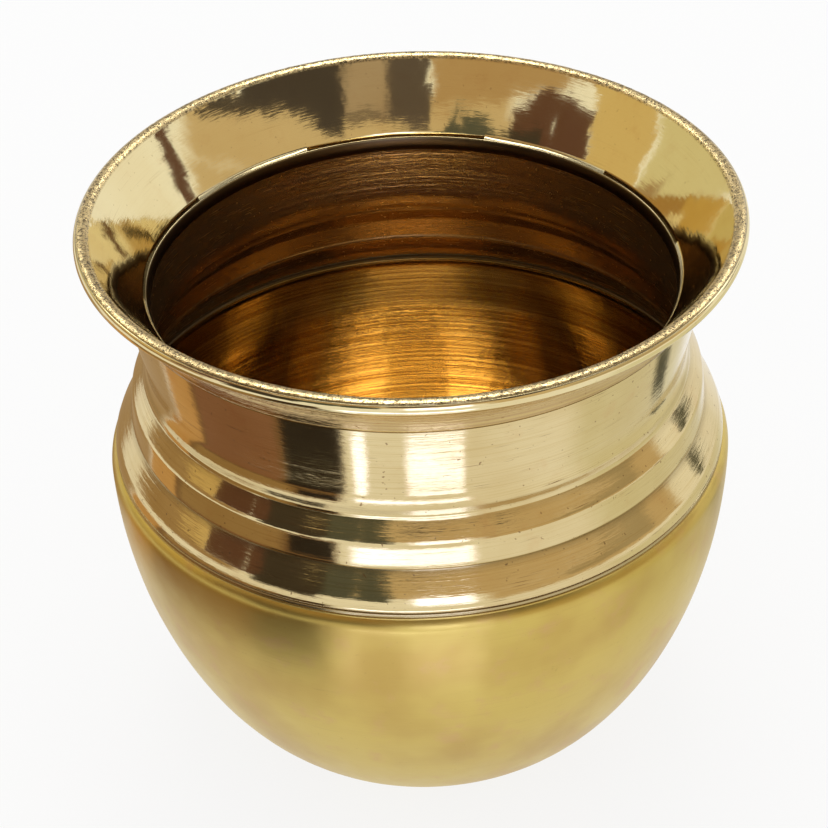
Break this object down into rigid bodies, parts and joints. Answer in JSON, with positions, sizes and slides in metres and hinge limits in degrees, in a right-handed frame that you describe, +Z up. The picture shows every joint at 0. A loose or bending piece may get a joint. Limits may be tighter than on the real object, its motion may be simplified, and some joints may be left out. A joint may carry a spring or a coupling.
{
  "type": "lota",
  "caption": "Round water pot with a flared mouth, curled lip, short neck, ribbed shoulder and rounded bowl on a flat base.",
  "frame": {"origin": "centre of the flat base, on the surface that the pot stands on", "axes": "+Z up along the axis that the pot is turned about, through the middle of the mouth; +X and +Y are alike, because the pot is round"},
  "size_m": [0.108, 0.108, 0.1015],
  "materials": {
    "polished_brass": "polished, with fine turning lines and light tarnish; the lip is grained",
    "turned_brass": "polished on the lathe, with concentric scratches and dark lines in the ribs",
    "satin_brass": "satin, soft upright streaks and a few smudges outside, bright turning lines inside",
    "wire_brass": "drawn wire, lightly polished",
    "braze_alloy": "filed and polished flush, a little paler than the sheet"
  },
  "bodies": {
    "root": {"mouth": "polished_brass", "rim_wire": "wire_brass", "neck_braze": "braze_alloy", "shoulder": "turned_brass", "seam_braze": "braze_alloy", "bowl": "satin_brass"}
  },
  "joints": []
}
